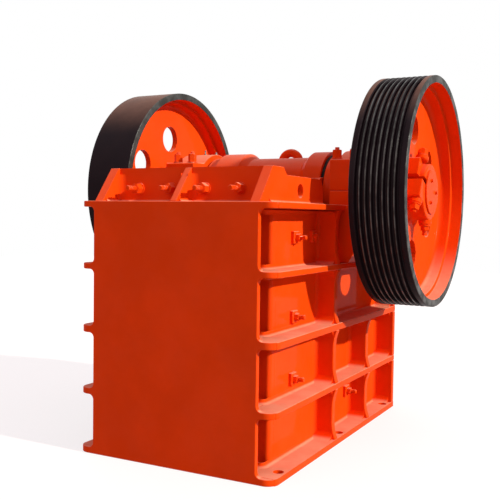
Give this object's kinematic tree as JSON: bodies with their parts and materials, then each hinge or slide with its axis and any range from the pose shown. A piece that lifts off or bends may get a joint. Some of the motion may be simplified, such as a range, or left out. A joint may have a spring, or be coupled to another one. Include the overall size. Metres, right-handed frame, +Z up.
{
  "type": "jaw crusher",
  "caption": "Single-toggle jaw crusher with a ribbed steel frame, toothed jaw plates, an eccentric shaft, a flywheel and a grooved belt pulley.",
  "frame": {"origin": "on the foundation, at the centre of the four outer foundation bolts", "axes": "+Z up, -Y towards the flat front plate, +X towards the grooved pulley along the shaft"},
  "size_m": [1.938, 2.08, 2.005],
  "materials": {
    "frame_paint": "glossy red machine paint over cast and welded steel",
    "wheel_paint": "glossy red machine paint on the web, hub and inner rim; the rim's outside, with the belt grooves, is near black",
    "manganese_steel": "bare cast manganese steel",
    "machined_steel": "machined steel with a film of oil"
  },
  "bodies": {
    "frame": {"adjusting_shims": "machined_steel", "base_flange_left": "frame_paint", "base_flange_right": "frame_paint", "bearing_cap_left": "frame_paint", "bearing_cap_right": "frame_paint", "bearing_housing_left": "frame_paint", "bearing_housing_right": "frame_paint", "bearing_pedestal_left": "frame_paint", "bearing_pedestal_right": "frame_paint", "cheek_plate_left": "manganese_steel", "cheek_plate_right": "manganese_steel", "fixed_jaw_plate": "manganese_steel", "front_gusset": "frame_paint", "front_plate": "frame_paint", "front_shelves": "frame_paint", "front_wall": "frame_paint", "lower_rib_left": "frame_paint", "lower_rib_right": "frame_paint", "middle_rib_left": "frame_paint", "middle_rib_right": "frame_paint", "rear_wall": "frame_paint", "side_wall_left": "frame_paint", "side_wall_right": "frame_paint", "spring_cup": "frame_paint", "toggle_block": "frame_paint", "toggle_block_guides": "frame_paint", "top_flange_left": "frame_paint", "top_flange_right": "frame_paint", "upper_rib_left": "frame_paint", "upper_rib_right": "frame_paint", "upper_side_plate_left": "frame_paint", "upper_side_plate_right": "frame_paint", "vertical_ribs_left": "frame_paint", "vertical_ribs_right": "frame_paint"},
    "jaw": {"pitman": "frame_paint", "swing_jaw_plate": "manganese_steel", "jaw_plate_wedge": "frame_paint", "lifting_eye": "frame_paint", "tension_rod": "machined_steel", "rod_spring": "machined_steel"},
    "toggle": {"toggle_plate": "machined_steel"},
    "rotor": {"eccentric_shaft": "machined_steel", "flywheel": "wheel_paint", "grooved_pulley": "wheel_paint", "hub_end_plates": "frame_paint"}
  },
  "joints": [
    {"name": "shaft_spin", "type": "hinge", "parent": "frame", "child": "rotor", "pos_m": [0, 0.29, 1.37], "axis": [1, 0, 0], "continuous": true},
    {"name": "jaw_swing", "type": "hinge", "parent": "frame", "child": "jaw", "pos_m": [0, 0.29, 1.37], "axis": [1, 0, 0], "range_deg": [-0.72, 0.72]},
    {"name": "toggle_rock", "type": "hinge", "parent": "frame", "child": "toggle", "pos_m": [0, 0.466, 0.4301], "axis": [1, 0, 0], "range_deg": [-0.9, 0.9]}
  ],
  "couplings": [
    {"joint": "toggle_rock", "follows": "jaw_swing", "ratio": 1.223}
  ]
}
